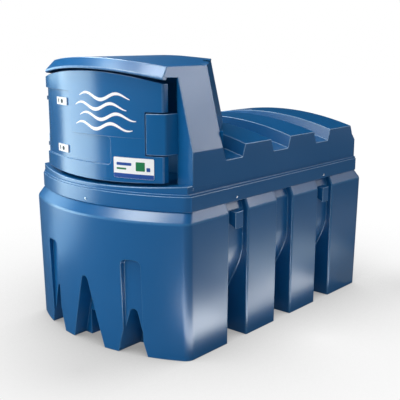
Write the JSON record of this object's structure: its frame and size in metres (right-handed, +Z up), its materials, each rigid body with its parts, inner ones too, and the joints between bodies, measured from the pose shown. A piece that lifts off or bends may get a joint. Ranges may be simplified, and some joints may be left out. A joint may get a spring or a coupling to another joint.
{
  "type": "bunded diesel exhaust fluid dispensing tank",
  "caption": "Blue bunded polyethylene dispensing tank with ribbed lid, pillared sides and an equipment cabinet with a curved hinged door.",
  "frame": {"origin": "on the ground at the middle of the tank's footprint", "axes": "+Z up, -Y towards the cabinet's door, +X towards the long side on the right when facing the door"},
  "size_m": [1.47, 2.512, 1.879],
  "materials": {
    "blue_polyethylene": "satin rotomoulded polyethylene with a fine grain",
    "bright_steel": "bright zinc-plated steel",
    "white_label": "blank glossy label plate"
  },
  "bodies": {
    "root": {"bund_tank": "blue_polyethylene", "lid": "blue_polyethylene", "cabinet_side_right": "blue_polyethylene", "cabinet_side_left": "blue_polyethylene", "cabinet_roof": "blue_polyethylene", "cabinet_rear": "blue_polyethylene", "lock_block": "blue_polyethylene", "hinge_bracket_lower": "bright_steel", "hinge_bracket_upper": "bright_steel", "tie_lug_right_near": "blue_polyethylene", "tie_lug_right_far": "blue_polyethylene", "tie_lug_left_near": "blue_polyethylene", "tie_lug_left_far": "blue_polyethylene", "lid_screw_right_near": "bright_steel", "lid_screw_right_far": "bright_steel", "lid_screw_left_near": "bright_steel", "lid_screw_left_far": "bright_steel", "lid_screw_front": "bright_steel", "lid_screw_rear": "bright_steel"},
    "door_leaf": {"door": "blue_polyethylene", "hinge_plate_lower": "bright_steel", "hinge_plate_upper": "bright_steel", "hinge_leaf_lower": "bright_steel", "hinge_leaf_upper": "bright_steel", "label_plate": "white_label"}
  },
  "joints": [
    {"name": "door_hinge", "type": "hinge", "parent": "root", "child": "door_leaf", "pos_m": [-0.612, -0.978, 1.4275], "axis": [0, 0, -1], "range_deg": [0, 100]}
  ]
}
